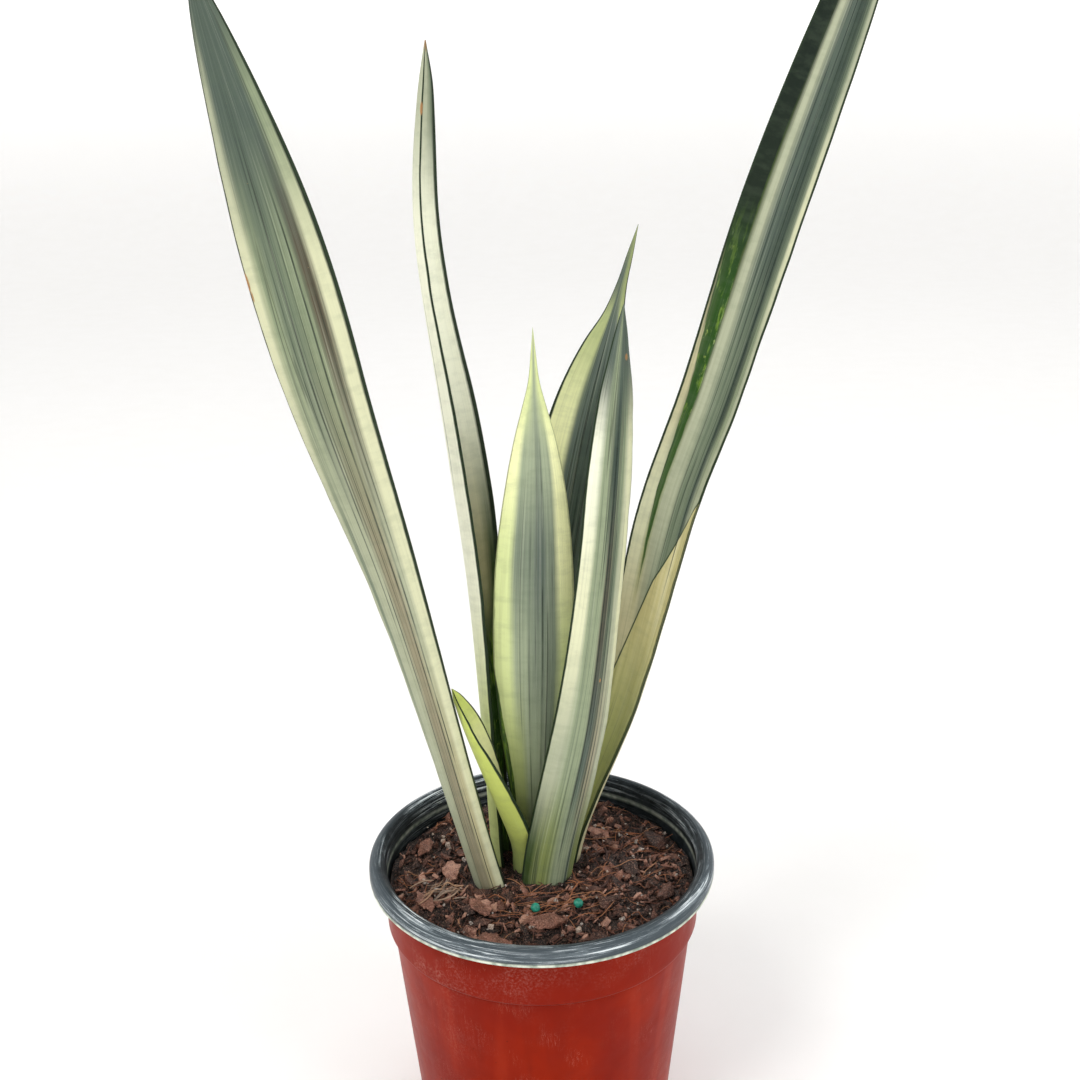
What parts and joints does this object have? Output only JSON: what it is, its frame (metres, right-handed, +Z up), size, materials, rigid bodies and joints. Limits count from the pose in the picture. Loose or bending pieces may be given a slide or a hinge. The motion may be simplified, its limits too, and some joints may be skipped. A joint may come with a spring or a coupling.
{
  "type": "potted plant",
  "caption": "Variegated snake plant with upright channelled leaves, growing in potting mix in a tapered round plastic nursery pot with a rolled rim.",
  "frame": {"origin": "centre of the pot's flat base, on the surface it stands on", "axes": "+Z up along the pot's axis, -Y towards the plant's front, +X towards its right-hand tall leaf"},
  "size_m": [0.1804, 0.108, 0.398],
  "materials": {
    "pot": "satin",
    "potting_mix": "matte",
    "rhizome": "matte",
    "root": "matte",
    "leaf": "satin",
    "bark": "matte",
    "perlite": "matte",
    "fertiliser": "satin",
    "fibre": "matte"
  },
  "bodies": {
    "root": {"pot": "pot", "potting_mix": "potting_mix", "rhizome": "rhizome", "root_1": "root", "root_2": "root", "root_3": "root", "root_4": "root", "root_5": "root", "root_6": "root", "leaf_left_tall": "leaf", "leaf_back_narrow": "leaf", "leaf_centre": "leaf", "leaf_front_right": "leaf", "leaf_back": "leaf", "leaf_sheath": "leaf", "leaf_right_tall": "leaf", "bark_chip_1": "bark", "bark_chip_2": "bark", "bark_chip_3": "bark", "bark_chip_4": "bark", "bark_chip_5": "bark", "bark_chip_6": "bark", "bark_chip_7": "bark", "bark_chip_8": "bark", "bark_chip_9": "bark", "bark_chip_10": "bark", "bark_chip_11": "bark", "bark_chip_12": "bark", "bark_chip_13": "bark", "bark_chip_14": "bark", "bark_chip_15": "bark", "bark_chip_16": "bark", "perlite_grain_1": "perlite", "perlite_grain_2": "perlite", "perlite_grain_3": "perlite", "perlite_grain_4": "perlite", "perlite_grain_5": "perlite", "perlite_grain_6": "perlite", "perlite_grain_7": "perlite", "perlite_grain_8": "perlite", "fertiliser_prill_1": "fertiliser", "fertiliser_prill_2": "fertiliser", "fertiliser_prill_3": "fertiliser", "coir_fibre_1": "fibre", "coir_fibre_2": "fibre", "coir_fibre_3": "fibre", "coir_fibre_4": "fibre"}
  },
  "joints": []
}
